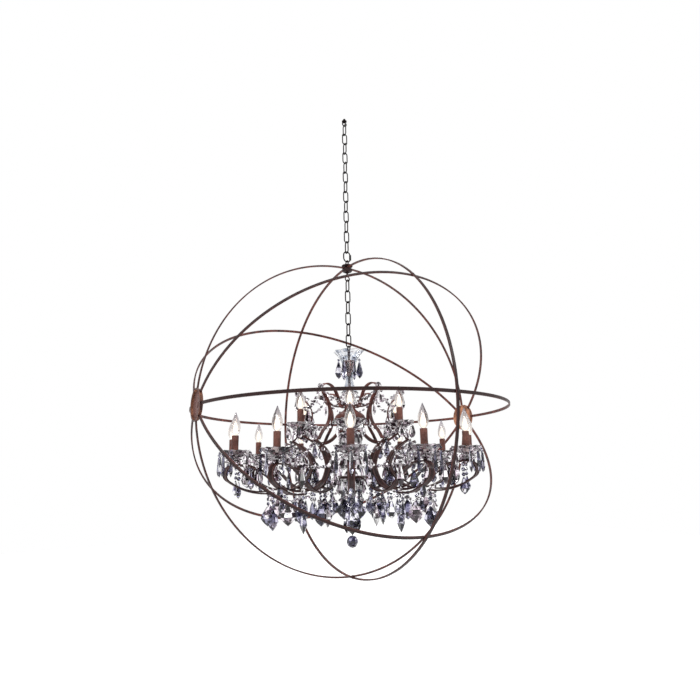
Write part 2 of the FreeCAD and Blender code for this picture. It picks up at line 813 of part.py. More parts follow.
def main():
    os.makedirs("parts", exist_ok=True)
    save("ceiling_loop", make_ceiling_loop())
    save("top_link", hung_link(chain_link, first_link_bottom, True))
    save("upper_chain", make_upper_chain())
    save("quick_link", moved(quick_shape, 0, 0, quick_bottom))
    for k in range(hub_straps):
        save("half_arc_%d" % (k + 1), make_half_arc(360.0 * k / hub_straps))
    save("meridian_ring", make_meridian_ring())
    save("left_hub", make_side_hub(-1))
    save("right_hub", make_side_hub(1))
    save("orb_rivets", make_rivets())
    save("top_hub", make_top_hub())
    save("hub_hook", make_hub_hook())
    save("lower_chain", make_lower_chain())
    save("centre_rod", make_centre_rod())
    save("glass_trumpet", make_trumpet())
    save("ferrule", make_ferrule())
    save("glass_spools", make_glass_spools())
    save("arm_plates", make_arm_plates())
    save("bell_cup", make_bell_cup())
    save("smoke_bowl", make_smoke_bowl())
    save("lower_dish", make_lower_dish())
    save("finial", make_finial())
    save("lower_arms", make_lower_arms())
    save("lyre_scrolls", make_lyres())
    save("upper_arms", make_upper_arms())
    save("candle_cups", make_cups())
    save("bobeches", make_bobeches())
    save("candle_sleeves", make_sleeves())
    for k, bulb in enumerate(at_candles(bulb_shape())):
        save("bulb_%02d" % (k + 1), bulb)
    save("spear_drops", make_spear_drops())
    save("almond_drops", make_almond_drops())
    save("kite_drops", make_kite_drops())
    save("rosettes", make_rosettes())
    save("blade_drops", make_blades())
    save("ball_drop", make_ball_drop())
    save("ball_kites", make_ball_kites())
    print("ceiling above orb centre", round(ceiling, 2))
    print("hinges", round(loop_bottom - ceiling, 3), round(first_link_bottom - ceiling, 3),
          round(quick_bottom - ceiling, 3), round(hook_bottom - ceiling, 3),
          round(finial_loop_bottom + drop_wire / 2 - ceiling, 3))


main()
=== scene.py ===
"""Looks of the orb chandelier: rusted iron straps and chain, smoked crystal and lit candle bulbs.

Pieces are drawn in millimetres round the centre of the orb, and piece() brings them to the frame.
"""

import bmesh
import bpy
import json
import math
import random
from mathutils import Matrix, Vector


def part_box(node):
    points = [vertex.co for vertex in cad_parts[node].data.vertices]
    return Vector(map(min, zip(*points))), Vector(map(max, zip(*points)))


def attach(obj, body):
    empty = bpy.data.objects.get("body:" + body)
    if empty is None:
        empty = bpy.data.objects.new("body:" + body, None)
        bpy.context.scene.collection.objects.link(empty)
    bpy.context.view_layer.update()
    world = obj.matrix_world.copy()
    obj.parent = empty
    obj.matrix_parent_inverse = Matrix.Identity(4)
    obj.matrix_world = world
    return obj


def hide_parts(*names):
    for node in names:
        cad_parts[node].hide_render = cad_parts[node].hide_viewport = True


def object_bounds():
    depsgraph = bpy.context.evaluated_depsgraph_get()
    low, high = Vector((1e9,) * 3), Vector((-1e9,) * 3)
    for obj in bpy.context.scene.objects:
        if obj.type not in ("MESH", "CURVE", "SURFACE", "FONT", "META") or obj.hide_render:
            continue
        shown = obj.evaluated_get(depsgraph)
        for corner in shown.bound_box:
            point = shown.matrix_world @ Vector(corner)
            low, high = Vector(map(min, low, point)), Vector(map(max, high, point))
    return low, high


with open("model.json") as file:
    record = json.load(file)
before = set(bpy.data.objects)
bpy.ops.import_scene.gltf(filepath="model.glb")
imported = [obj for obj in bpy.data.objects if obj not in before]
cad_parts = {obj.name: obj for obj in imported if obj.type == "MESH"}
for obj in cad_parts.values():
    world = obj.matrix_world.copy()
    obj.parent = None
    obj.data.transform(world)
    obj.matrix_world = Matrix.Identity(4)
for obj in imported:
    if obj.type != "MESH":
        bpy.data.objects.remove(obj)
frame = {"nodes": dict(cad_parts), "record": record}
cad_low, cad_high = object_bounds()

MM = 0.001
TURN = 2 * math.pi
ring_low, ring_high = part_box("meridian_ring")
CENTRE_Z = (ring_low.z + ring_high.z) / 2
ORB_TO_FRAME = Matrix.Translation((0, 0, CENTRE_Z)) @ Matrix.Scale(MM, 4)
CEILING = -CENTRE_Z / MM
pick = random.Random(7)
facet_tones = random.Random(11)

# ---- sizes shared with the solids, in millimetres ----
ORB_RADIUS = 552.6
STRAP_THICKNESS = 4.5
STRAP_WIDTH = 9.8
STRAP_OUTSIDE = ORB_RADIUS - STRAP_THICKNESS - 0.1
HUB_RADIUS = 49.0
HUB_DEPTH = 12.0
HUB_FLOOR = STRAP_OUTSIDE - STRAP_THICKNESS - HUB_DEPTH / 2
HUB_MOUTH = HUB_FLOOR + HUB_DEPTH
WIRE = 4.5
LINK_LENGTH = 43.0
LINK_WIDTH = 15.0
CHAIN_PITCH = 42.95
EYE_RADIUS = 9.0
FRONT = -121.6
LOWER_REACH = 416.0
LOWER_RIM = -136.0
UPPER_REACH = 193.5
UPPER_RIM = -44.5
SLEEVE_TOP = 46.6
CROSSINGS = [45 * k for k in range(8)]


def lower_angles():
    return [FRONT + 30 * k for k in range(12)]


def upper_angles():
    return [FRONT + 60 * k for k in range(6)]


def lyre_angles():
    return [FRONT + 30 + 60 * k for k in range(6)]


def candles():
    """Angle, reach and rim height of each light, in the order of the bulbs."""
    lower = [(angle, LOWER_REACH, LOWER_RIM) for angle in lower_angles()]
    return lower + [(angle, UPPER_REACH, UPPER_RIM) for angle in upper_angles()]


def rolled(degrees, axis):
    return Matrix.Rotation(math.radians(degrees), 4, axis)


def moved(x, y, z):
    return Matrix.Translation((x, y, z))


def out_at(angle, reach, height):
    """The place at this reach and height on a line from the column, and its turn."""
    return rolled(angle, "Z") @ moved(reach, 0, height)


def lowest(node):
    """Lowest height of a solid, above the orb's centre."""
    return (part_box(node)[0].z - CENTRE_Z) / MM


# ---- materials ----
def paint(code):
    """A colour from its hex code."""
    parts = [(code >> shift & 255) / 255 for shift in (16, 8, 0)]
    return tuple(c / 12.92 if c < 0.04 else ((c + 0.055) / 1.055) ** 2.4 for c in parts) + (1.0,)


def mottle_group():
    """Broad patches and fine grain, which rust, paint and smoked glass all use."""
    group = bpy.data.node_groups.new("mottle", "ShaderNodeTree")
    for name, kind in (("Vector", "NodeSocketVector"), ("Patch Scale", "NodeSocketFloat"),
                       ("Grain Scale", "NodeSocketFloat")):
        group.interface.new_socket(name=name, in_out="INPUT", socket_type=kind)
    for name in ("Patches", "Grain"):
        group.interface.new_socket(name=name, in_out="OUTPUT", socket_type="NodeSocketFloat")
    start = group.nodes.new("NodeGroupInput")
    end = group.nodes.new("NodeGroupOutput")
    for source, target, detail in (("Patch Scale", "Patches", 4.0), ("Grain Scale", "Grain", 8.0)):
        noise = group.nodes.new("ShaderNodeTexNoise")
        noise.inputs["Detail"].default_value = detail
        stretch = group.nodes.new("ShaderNodeMapRange")
        stretch.inputs["From Min"].default_value = 0.32
        stretch.inputs["From Max"].default_value = 0.68
        group.links.new(start.outputs["Vector"], noise.inputs["Vector"])
        group.links.new(start.outputs[source], noise.inputs["Scale"])
        group.links.new(noise.outputs[0], stretch.inputs["Value"])
        group.links.new(stretch.outputs[0], end.inputs[target])
    return group


MOTTLE = mottle_group()


def new_material(name, patch_scale, grain_scale):
    """A material with its Principled shader and its own mottle."""
    material = bpy.data.materials.new(name)
    material.use_nodes = True
    tree = material.node_tree
    tree.nodes.clear()
    output = tree.nodes.new("ShaderNodeOutputMaterial")
    shader = tree.nodes.new("ShaderNodeBsdfPrincipled")
    tree.links.new(shader.outputs["BSDF"], output.inputs["Surface"])
    place = tree.nodes.new("ShaderNodeTexCoord")
    mottle = tree.nodes.new("ShaderNodeGroup")
    mottle.node_tree = MOTTLE
    mottle.inputs["Patch Scale"].default_value = patch_scale
    mottle.inputs["Grain Scale"].default_value = grain_scale
    tree.links.new(place.outputs["Object"], mottle.inputs["Vector"])
    return material, tree, shader, mottle


def blend_colours(tree, factor, first, second):
    """Mix two colours, each given as a value or as another node's output."""
    mix = tree.nodes.new("ShaderNodeMix")
    mix.data_type = "RGBA"
    for socket, colour in ((mix.inputs[6], first), (mix.inputs[7], second)):
        if isinstance(colour, tuple):
            socket.default_value = colour
        else:
            tree.links.new(colour, socket)
    tree.links.new(factor, mix.inputs[0])
    return mix.outputs[2]


def face_value(tree, name):
    """A number that each face of the piece carries."""
    node = tree.nodes.new("ShaderNodeAttribute")
    node.attribute_name = name
    return node.outputs["Fac"]


def combine(tree, operation, first, second):
    node = tree.nodes.new("ShaderNodeMath")
    node.operation = operation
    for socket, value in zip(node.inputs, (first, second)):
        if isinstance(value, float):
            socket.default_value = value
        else:
            tree.links.new(value, socket)
    return node.outputs[0]


def spread(tree, value, low, high):
    scale = tree.nodes.new("ShaderNodeMapRange")
    scale.inputs["To Min"].default_value = low
    scale.inputs["To Max"].default_value = high
    tree.links.new(value, scale.inputs["Value"])
    return scale.outputs[0]


def roughen(tree, shader, height, strength, distance):
    bump = tree.nodes.new("ShaderNodeBump")
    bump.inputs["Strength"].default_value = strength
    bump.inputs["Distance"].default_value = distance
    tree.links.new(height, bump.inputs["Height"])
    tree.links.new(bump.outputs["Normal"], shader.inputs["Normal"])


def rusted_iron(name, dark, warm, lit, wear_and_sheen, wax):
    """Waxed rust in patches, with painted candlelight that makes faces towards the candles paler and redder,
    painted highlights along the borders, and worn specks.
    """
    material, tree, shader, mottle = new_material(name, 38, 420)
    # Painted candlelight: faces turned to the candles take the paler lit colours, and the others keep the
    # darker shade colours.
    shade = blend_colours(tree, mottle.outputs["Patches"], paint(dark), paint(warm))
    glow = blend_colours(tree, mottle.outputs["Patches"], paint(warm), paint(lit))
    body = blend_colours(tree, face_value(tree, "painted_candlelight"), shade, glow)
    specks = spread(tree, mottle.outputs["Grain"], 0.0, 0.18)
    # Painted highlight: the narrow border faces take the pale colour of the specks, as a sheen along the
    # edges.
    borders = combine(tree, "MULTIPLY", face_value(tree, "painted_border_sheen"), 0.4)
    share = combine(tree, "MAXIMUM", specks, borders)
    tree.links.new(blend_colours(tree, share, body, paint(wear_and_sheen)), shader.inputs["Base Color"])
    tree.links.new(spread(tree, mottle.outputs["Patches"], 0.4, 0.66), shader.inputs["Roughness"])
    shader.inputs["Specular IOR Level"].default_value = 0.1
    shader.inputs["Coat Weight"].default_value = wax
    shader.inputs["Coat Roughness"].default_value = 0.3
    roughen(tree, shader, mottle.outputs["Grain"], 0.35, 0.0006)
    return material


def cut_glass(name, tones, roughness, transmission, sparkle=0.0):
    """Crystal whose facets differ in tone, as painted reflections; tones are (share, colour) from dark to
    pale.

    sparkle is a painted glint: light that the palest facets give off, as those that mirror a lamp do.
    """
    material, tree, shader, mottle = new_material(name, 24, 90)
    drift = spread(tree, mottle.outputs["Patches"], -0.1, 0.1)
    ramp = tree.nodes.new("ShaderNodeValToRGB")
    ramp.color_ramp.interpolation = "CONSTANT"
    stops = ramp.color_ramp.elements
    for k, (share, code) in enumerate(tones):
        stop = stops[k] if k < len(stops) else stops.new(share)
        stop.position = share
        stop.color = paint(code)
    tone = combine(tree, "ADD", face_value(tree, "facet_tone"), drift)
    tree.links.new(tone, ramp.inputs[0])
    tree.links.new(ramp.outputs["Color"], shader.inputs["Base Color"])
    gloss = spread(tree, mottle.outputs["Grain"], roughness, roughness * 3)
    tree.links.new(gloss, shader.inputs["Roughness"])
    shader.inputs["Transmission Weight"].default_value = transmission
    shader.inputs["IOR"].default_value = 1.5
    # Painted glint: the palest facets give off light.
    tree.links.new(combine(tree, "GREATER_THAN", tone, 0.72), shader.inputs["Emission Color"])
    shader.inputs["Emission Strength"].default_value = sparkle
    return material


def bulb_envelope(name):
    """Thin clear glass that greys towards the tip."""
    material, tree, shader, mottle = new_material(name, 60, 300)
    tint = blend_colours(tree, face_value(tree, "up_the_bulb"), paint(0xFFFAF2), paint(0x8E8892))
    tree.links.new(tint, shader.inputs["Base Color"])
    tree.links.new(spread(tree, mottle.outputs["Grain"], 0.0, 0.04), shader.inputs["Roughness"])
    shader.inputs["Transmission Weight"].default_value = 1.0
    shader.inputs["IOR"].default_value = 1.25
    glow = blend_colours(tree, face_value(tree, "up_the_bulb"), paint(0xFFF6EA), paint(0x000000))
    tree.links.new(glow, shader.inputs["Emission Color"])
    shader.inputs["Emission Strength"].default_value = 0.12
    return material


def candle_glow(name):
    """The lit heart of a bulb, warm at its foot and white above."""
    material, tree, shader, mottle = new_material(name, 60, 300)
    rise = face_value(tree, "up_the_bulb")
    colour = blend_colours(tree, rise, paint(0xFFEACC), paint(0xFFFFFF))
    shimmer = spread(tree, mottle.outputs["Patches"], 0.0, 0.12)
    tree.links.new(blend_colours(tree, shimmer, colour, paint(0xFFE9C8)), shader.inputs["Emission Color"])
    tree.links.new(colour, shader.inputs["Base Color"])
    shader.inputs["Emission Strength"].default_value = 0.9
    return material


# In each finish the third colour is painted candlelight for faces towards the candles; the fourth serves worn
# specks and painted border highlights.
iron = rusted_iron("rusted_iron", 0x0A0506, 0x251111, 0x8E554C, 0x7C5855, 0.2)
chain_iron = rusted_iron("blackened_iron", 0x030202, 0x0E0707, 0x2E1C1A, 0x3C2C29, 0.1)
# The hubs take a bright orange lit colour: painted candlelight on their inner faces from the nearby bulbs.
hub_iron = rusted_iron("candlelit_iron", 0x120808, 0x3E1E18, 0xF0A880, 0xA8807A, 0.15)
sleeve_paint = rusted_iron("sleeve_brown", 0x44241F, 0x7E4E42, 0xB07E70, 0xBC9A90, 0.2)
# Glass tones whose darkest and palest steps are painted reflections in the facets.
CLEAR_TONES = [(0.0, 0x8C93A4), (0.2, 0xD5DAE4), (0.5, 0xF6F7FA), (1.0, 0xFFFFFF)]
SMOKE_TONES = [(0.0, 0x04040A), (0.2, 0x1C1A2C), (0.36, 0x585672), (0.53, 0xA6A2BA), (0.68, 0xECEAF4),
               (0.82, 0xFFFFFF)]
PALE_TONES = [(0.0, 0x0A0608), (0.16, 0x2C2028), (0.3, 0x6A5866), (0.45, 0xB8A8B4), (0.58, 0xF4EEF2),
              (0.7, 0xFFFFFF)]
PETAL_TONES = [(0.0, 0x241A20), (0.2, 0x6E5C66), (0.42, 0xB4A4AE), (0.62, 0xEFE9ED), (0.85, 0xFFFFFF)]
clear_glass = cut_glass("clear_glass", CLEAR_TONES, 0.01, 0.95)
smoke_crystal = cut_glass("smoke_crystal", SMOKE_TONES, 0.01, 1.0)
pale_crystal = cut_glass("pale_crystal", PALE_TONES, 0.01, 1.0, 0.22)
petal_glass = cut_glass("petal_glass", PETAL_TONES, 0.01, 0.92, 0.1)
bulb_glass = bulb_envelope("bulb_glass")
bulb_heart = candle_glow("bulb_heart")
FINISHES = {"rusted_iron": iron, "sleeve_brown": sleeve_paint, "clear_glass": clear_glass,
            "smoke_crystal": smoke_crystal, "bulb_glass": bulb_glass}


# ---- building ----
def shape(make, *sizes):
    """A finished shape to stamp: welded, with its faces pointing outwards."""
    bm = bmesh.new()
    make(bm, *sizes)
    bmesh.ops.remove_doubles(bm, verts=bm.verts, dist=0.001)
    bmesh.ops.recalc_face_normals(bm, faces=bm.faces)
    mesh = bpy.data.meshes.new(make.__name__)
    bm.to_mesh(mesh)
    bm.free()
    return mesh


def stamp(bm, mesh, place):
    first = len(bm.verts)
    bm.from_mesh(mesh)
    bm.verts.ensure_lookup_table()
    bmesh.ops.transform(bm, matrix=place, verts=bm.verts[first:])


def facet_tone(mesh, face):
    """Painted reflection: a tone that differs from facet to facet, as cut crystal's reflections do."""
    return facet_tones.random()


def faces_inward(mesh, face):
    """1 on faces that look at the middle of the orb, 0 on those that look out: how much painted candlelight
    the hoops take.
    """
    out = (face.center - Vector((0, 0, CENTRE_Z))).normalized()
    return min(1.0, max(0.0, 0.4 - face.normal.dot(out)))


def near_the_candles(mesh, face):
    """Rises from the foot of the branches to the height of the upper candles: how much painted candlelight the
    branches and column take.
    """
    return min(1.0, max(0.0, ((face.center.z - CENTRE_Z) / MM + 210) / 290))


def narrow_border(mesh, face):
    """1 on the raised borders and eased corners of flat iron, where the finish paints a highlight."""
    corners = [mesh.vertices[index].co for index in face.vertices]
    sides = [(a - b).length for a, b in zip(corners, corners[1:] + corners[:1])]
    return 1.0 if min(sides) < 3 * MM else 0.0


FACET = (("facet_tone", facet_tone),)
HOOP = (("painted_candlelight", faces_inward), ("painted_border_sheen", narrow_border))
BRANCH = (("painted_candlelight", near_the_candles), ("painted_border_sheen", narrow_border))
CAST = (("painted_candlelight", near_the_candles),)


def piece(name, body, slot, stamps, nodes=(), smooth=None, marks=None, finish=None):
    """One object from stamped shapes, which rides on a body and stands for its solids.

    marks are (name, measure) pairs, the numbers that the finish reads from each face.
    """
    bm = bmesh.new()
    for mesh, place in stamps:
        stamp(bm, mesh, place)
    bmesh.ops.transform(bm, matrix=ORB_TO_FRAME, verts=bm.verts)
    mesh = bpy.data.meshes.new(name)
    bm.to_mesh(mesh)
    bm.free()
    if smooth is not None:
        mesh.polygons.foreach_set("use_smooth", [True] * len(mesh.polygons))
        mesh.set_sharp_from_angle(angle=math.radians(smooth))
    thing = bpy.data.objects.new(name, mesh)
    bpy.context.scene.collection.objects.link(thing)
    mesh.materials.append(finish or FINISHES[slot])
    for mark, measure in FACET if "glass" in slot or "crystal" in slot else marks or ():
        values = mesh.attributes.new(mark, "FLOAT", "FACE")
        values.data.foreach_set("value", [measure(mesh, face) for face in mesh.polygons])
    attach(thing, body)
    if nodes:
        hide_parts(*nodes)
    return thing


def lathe(bm, outline, steps, closed=False):
    """Turn (radius, height) points round Z. A closed outline leaves a bore or a hollow."""
    verts = [bm.verts.new((radius, 0, height)) for radius, height in outline]
    pairs = list(zip(verts, verts[1:]))
    if closed:
        pairs.append((verts[-1], verts[0]))
    edges = [bm.edges.new(pair) for pair in pairs]
    bmesh.ops.spin(bm, geom=verts + edges, cent=(0, 0, 0), axis=(0, 0, 1), dvec=(0, 0, 0),
                   angle=TURN, steps=steps, use_merge=True)


def close_ends(bm):
    open_edges = [edge for edge in bm.edges if edge.is_boundary]
    bmesh.ops.holes_fill(bm, edges=open_edges, sides=0)


def sweep(bm, geom, centre, degrees, steps, travel=(0, 0, 0)):
    """Carry an outline round an axis across the XZ plane and return its last copy."""
    done = bmesh.ops.spin(bm, geom=geom, cent=centre, axis=(0, -1, 0), dvec=travel,
                          angle=math.radians(degrees), steps=steps)
    return [item for item in done["geom_last"] if not isinstance(item, bmesh.types.BMFace)]


def bent_bar(bm, start, heading, turns, outline):
    """A bar that follows tangent arcs in the XZ plane; outline is (across, out of its face)."""
    x, z = start
    angle = math.radians(heading)
    face = Vector((-math.sin(angle), 0, math.cos(angle)))
    verts = [bm.verts.new(Vector((x, across, z)) + face * out) for across, out in outline]
    geom = verts + [bm.edges.new(pair) for pair in zip(verts, verts[1:] + verts[:1])]
    for radius, degrees in turns:
        side = 1 if degrees > 0 else -1
        cx = x - side * radius * math.sin(angle)
        cz = z + side * radius * math.cos(angle)
        arc = abs(math.radians(degrees)) * radius
        geom = sweep(bm, geom, (cx, 0, cz), degrees, max(2, min(int(abs(degrees) / 6), int(arc / 3.2))))
        angle += math.radians(degrees)
        x = cx + side * radius * math.sin(angle)
        z = cz - side * radius * math.cos(angle)
    close_ends(bm)


def wire_link(bm, wire, inside_length, inside_width):
    """A welded link in the XZ plane, its lowest wire centre at the origin."""
    bend = (inside_width + wire) / 2
    straight = inside_length + wire - 2 * bend
    ring = bmesh.ops.create_circle(bm, cap_ends=False, radius=wire / 2, segments=10)["verts"]
    bmesh.ops.translate(bm, vec=(-bend, 0, bend), verts=ring)
    geom = ring + list({edge for vert in ring for edge in vert.link_edges})
    geom = sweep(bm, geom, (0, 0, bend), 180, 10)
    if straight > 0.01:
        geom = sweep(bm, geom, (0, 0, 0), 0, 1, (0, 0, straight))
    geom = sweep(bm, geom, (0, 0, bend + straight), 180, 10)
    if straight > 0.01:
        sweep(bm, geom, (0, 0, 0), 0, 1, (0, 0, -straight))


def band(bm, outside, start, degrees, steps):
    """Part of a hoop round Z, of strap iron with its edges eased."""
    half, ease = STRAP_WIDTH / 2, 0.7
    inside = outside - STRAP_THICKNESS
    outline = [(outside, ease - half), (outside, half - ease), (outside - ease, half), (inside + ease, half),
               (inside, half - ease), (inside, ease - half), (inside + ease, -half), (outside - ease, -half)]
    turn = math.radians(start)
    verts = [bm.verts.new((r * math.cos(turn), r * math.sin(turn), z)) for r, z in outline]
    edges = [bm.edges.new(pair) for pair in zip(verts, verts[1:] + verts[:1])]
    whole = degrees == 360
    bmesh.ops.spin(bm, geom=verts + edges, cent=(0, 0, 0), axis=(0, 0, 1), dvec=(0, 0, 0),
                   angle=math.radians(degrees), steps=steps, use_merge=whole)
    if not whole:
        close_ends(bm)


# ---- shapes of the iron work ----
link_shape = shape(wire_link, WIRE, LINK_LENGTH, LINK_WIDTH)
eye_shape = shape(wire_link, WIRE, 2 * EYE_RADIUS - WIRE, 2 * EYE_RADIUS - WIRE)
quick_shape = shape(wire_link, 5.0, 36.0, 24.0)
small_ring = shape(wire_link, 2.4, 8.6, 8.6)


def thread(radius, low, high, pitch):
    """Outline of a threaded rod, from the bottom up."""
    points = []
    for k in range(int((high - low) / pitch)):
        points += [(radius, low + k * pitch), (radius - pitch / 3, low + (k + 0.5) * pitch)]
    return points


def make_nipple(bm):
    top, shoulder, foot = CEILING, CEILING - 8, CEILING - 13
    outline = [(0, foot), (8.5, foot), (10, foot + 1), (10, shoulder - 1), (9, shoulder)]
    lathe(bm, outline + thread(5, shoulder, top - 0.5, 1.0) + [(4.4, top - 0.2), (4, top), (0, top)], 32)


def make_hub(bm):
    """Shallow drum, open outwards, with a turned lip."""
    lip = HUB_RADIUS + 2.5
    outline = [(0, HUB_FLOOR), (HUB_RADIUS - 1.2, HUB_FLOOR), (HUB_RADIUS, HUB_FLOOR + 1.2),
               (HUB_RADIUS, HUB_MOUTH - 2.5), (lip - 0.8, HUB_MOUTH - 2.5), (lip, HUB_MOUTH - 1.6),
               (lip, HUB_MOUTH - 0.6), (lip - 0.8, HUB_MOUTH), (HUB_RADIUS - 2.4, HUB_MOUTH),
               (HUB_RADIUS - 3, HUB_MOUTH - 0.8), (HUB_RADIUS - 3, HUB_FLOOR + 4),
               (HUB_RADIUS - 4, HUB_FLOOR + 3), (9, HUB_FLOOR + 3), (8, HUB_FLOOR + 5),
               (5, HUB_FLOOR + 6.5), (0, HUB_FLOOR + 7)]
    lathe(bm, outline, 64)


def make_rivet(bm):
    """Domed heads inside and outside, on one shank."""
    inner = ORB_RADIUS - 2 * STRAP_THICKNESS - 0.1
    outline = [(0, inner - 1.6), (2.1, inner - 1.3), (3.6, inner - 0.5), (4.2, inner), (2.5, inner),
               (2.5, ORB_RADIUS), (4.2, ORB_RADIUS), (3.6, ORB_RADIUS + 0.6), (2.1, ORB_RADIUS + 1.3),
               (0, ORB_RADIUS + 1.6)]
    lathe(bm, outline, 16)


def make_top_disc(bm):
    low = ORB_RADIUS + 0.1
    outline = [(0, low), (20, low), (21, low + 1), (21, low + 4), (19.5, low + 5.2), (12, low + 6),
               (8, low + 8), (0, low + 8)]
    lathe(bm, outline, 40)


def make_clamp(bm):
    """Domed clamp under the crossing of the upright straps, round the nut."""
    top = STRAP_OUTSIDE - STRAP_THICKNESS
    outline = [(8.3, top - 13), (13, top - 13), (17.5, top - 10.5), (19.4, top - 6), (19.4, top - 1.2),
               (18.4, top), (8.3, top)]
    lathe(bm, outline, 32, True)


def make_hex_nut(bm, radius, low, high):
    lathe(bm, [(0, low), (radius - 1, low), (radius, low + 0.7), (radius, high - 0.7), (radius - 1, high),
               (0, high)], 6)


def make_round_bar(bm, radius, low, high):
    lathe(bm, [(0, low), (radius - 0.4, low), (radius, low + 0.4), (radius, high - 0.4),
               (radius - 0.4, high), (0, high)], 20)


ON_X = rolled(90, "Y")
CROSSWISE = rolled(90, "Z")


def chain_run(node, count, first_crosswise):
    """Stamps of the links of a run, from its lowest link up."""
    low = lowest(node) + WIRE / 2
    stamps = []
    for k in range(count):
        turn = CROSSWISE if (k % 2 == 0) == first_crosswise else Matrix.Identity(4)
        stamps.append((link_shape, moved(0, 0, low + k * CHAIN_PITCH) @ turn))
    return stamps


def build_chain():
    loop_low = lowest("ceiling_loop") + WIRE / 2
    piece("ceiling_fixing", "mount", "rusted_iron",
          [(shape(make_nipple), Matrix.Identity(4)), (eye_shape, moved(0, 0, loop_low))], ["ceiling_loop"], 35,
          finish=chain_iron)
    piece("first_chain_link", "first_link", "rusted_iron", chain_run("top_link", 1, True), ["top_link"], 50,
          finish=chain_iron)
    piece("long_chain", "chain", "rusted_iron", chain_run("upper_chain", 12, True), ["upper_chain"], 50,
          finish=chain_iron)
    quick_low = lowest("quick_link") + 2.5
    sleeve = shape(make_hex_nut, 4.6, quick_low + 9, quick_low + 30)
    piece("screw_link", "chain", "rusted_iron",
          [(quick_shape, moved(0, 0, quick_low)), (sleeve, moved(14.5, 0, 0))], ["quick_link"], 35,
          finish=chain_iron)
    piece("short_chain", "candelabra", "rusted_iron", chain_run("lower_chain", 6, False), ["lower_chain"], 50,
          finish=chain_iron)


def build_orb():
    reach = math.degrees(math.asin((HUB_RADIUS - 0.6) / (STRAP_OUTSIDE - STRAP_THICKNESS / 2)))
    half_hoop = shape(band, STRAP_OUTSIDE, reach, 180 - 2 * reach, 72)
    for k, roll in enumerate(CROSSINGS):
        piece("orb_strap_%d" % (k + 1), "orb", "rusted_iron", [(half_hoop, rolled(roll, "X"))],
              ["half_arc_%d" % (k + 1)], 35, HOOP)
    whole_hoop = shape(band, ORB_RADIUS, 0, 360, 144)
    piece("upright_hoop", "orb", "rusted_iron", [(whole_hoop, ON_X)], ["meridian_ring"], 35, HOOP)
    hub = shape(make_hub)
    piece("hub_right", "orb", "rusted_iron", [(hub, ON_X)], ["right_hub"], 35, HOOP, hub_iron)
    piece("hub_left", "orb", "rusted_iron", [(hub, rolled(180, "Z") @ ON_X)], ["left_hub"], 35, HOOP, hub_iron)
    rivet = shape(make_rivet)
    rivets = [(rivet, rolled(roll - 90, "X")) for roll in CROSSINGS if roll != 90]
    piece("crossing_rivets", "orb", "rusted_iron", rivets, ["orb_rivets"], 40)
    eye_low = ORB_RADIUS + 0.1 + 8 - WIRE / 4
    piece("top_disc", "orb", "rusted_iron",
          [(shape(make_top_disc), Matrix.Identity(4)), (eye_shape, moved(0, 0, eye_low) @ CROSSWISE)],
          ["top_hub"], 35)
    nut_top = STRAP_OUTSIDE - STRAP_THICKNESS
    hook_low = lowest("hub_hook") + WIRE / 2
    parts = [(shape(make_hex_nut, 8, nut_top - 6, nut_top), Matrix.Identity(4)),
             (shape(make_round_bar, 4, hook_low + 2 * EYE_RADIUS, ORB_RADIUS), Matrix.Identity(4)),
             (shape(make_clamp), Matrix.Identity(4)), (eye_shape, moved(0, 0, hook_low))]
    piece("hanging_hook", "orb", "rusted_iron", parts, ["hub_hook"], 35)


# ---- column ----
TRUMPET = [(30, 70), (24, 78), (17.5, 95), (13.4, 112), (13, 123), (14.5, 138), (19, 158), (26, 178),
           (36, 198), (47, 211), (57, 220), (55.5, 221.5), (45, 214), (33.5, 200.5), (23.5, 180),
           (16.5, 159), (11.8, 138), (10, 123), (10.6, 112), (14.5, 95), (21, 79.5), (27, 71.5)]
FERRULE = [(5.1, 128), (7.5, 128), (10, 145), (16, 168), (20.5, 177), (21.5, 184), (19.5, 186), (5.1, 186)]
COLLAR = [(6, 27), (20, 27), (28, 31), (30, 35), (24, 39), (17, 42), (22, 48), (22, 53), (16, 58), (24, 63),
          (32, 66.5), (32, 70), (6, 70)]
BELL = [(54, -25), (54.5, -22), (52, -15), (46, -8.5), (37, -3), (27, 3), (20.5, 9), (17, 15), (15, 21),
        (5.5, 21), (5.5, 18), (13, 17), (18, 8), (26, 1), (36, -5.5), (45, -11), (50, -17), (51.5, -25)]
BOWL = [(6, -60), (22, -60), (34, -53), (45, -44), (51, -37), (54, -31), (52, -25.2), (48, -27), (42, -42),
        (32, -50), (20, -56.5), (6, -57)]
SPOOL = [(6, -222), (24, -222), (24, -216), (17, -205), (13, -195), (17, -182), (20, -168), (17, -155),
         (11.5, -140), (13, -124), (15, -108), (13, -94), (19, -82), (22, -76), (22, -70), (6, -70)]
DISH = [(6, -256), (16, -256), (26, -252.5), (34, -247), (41, -240), (44, -234), (44, -230), (6, -230)]
CAP = [(0, -278), (5, -278), (7.5, -274), (9, -271), (14, -264), (16, -260), (16, -256), (0, -256)]


def make_turned(bm, outline, steps, closed):
    lathe(bm, outline, steps, closed)


def scallop(bm, outline, steps, petals, depth, from_radius):
    """A turned glass whose edge swells and dips in petals."""
    lathe(bm, outline, steps, True)
    edge = max(radius for radius, height in outline)
    for vert in bm.verts:
        radius = math.hypot(vert.co.x, vert.co.y)
        share = max(0.0, (radius - from_radius) / (edge - from_radius))
        wave = math.cos(petals * math.atan2(vert.co.y, vert.co.x)) - 1
        swell = 1 + depth * wave * share / edge
        vert.co.x *= swell
        vert.co.y *= swell
        vert.co.z += 0.3 * depth * wave * share


def turned_piece(name, slot, outlines, node, steps, smooth, finish=None):
    stamps = []
    for outline in outlines:
        closed = outline[0][0] > 0
        stamps.append((shape(make_turned, outline, steps, closed), Matrix.Identity(4)))
    piece(name, "candelabra", slot, stamps, [node], smooth, CAST, finish)


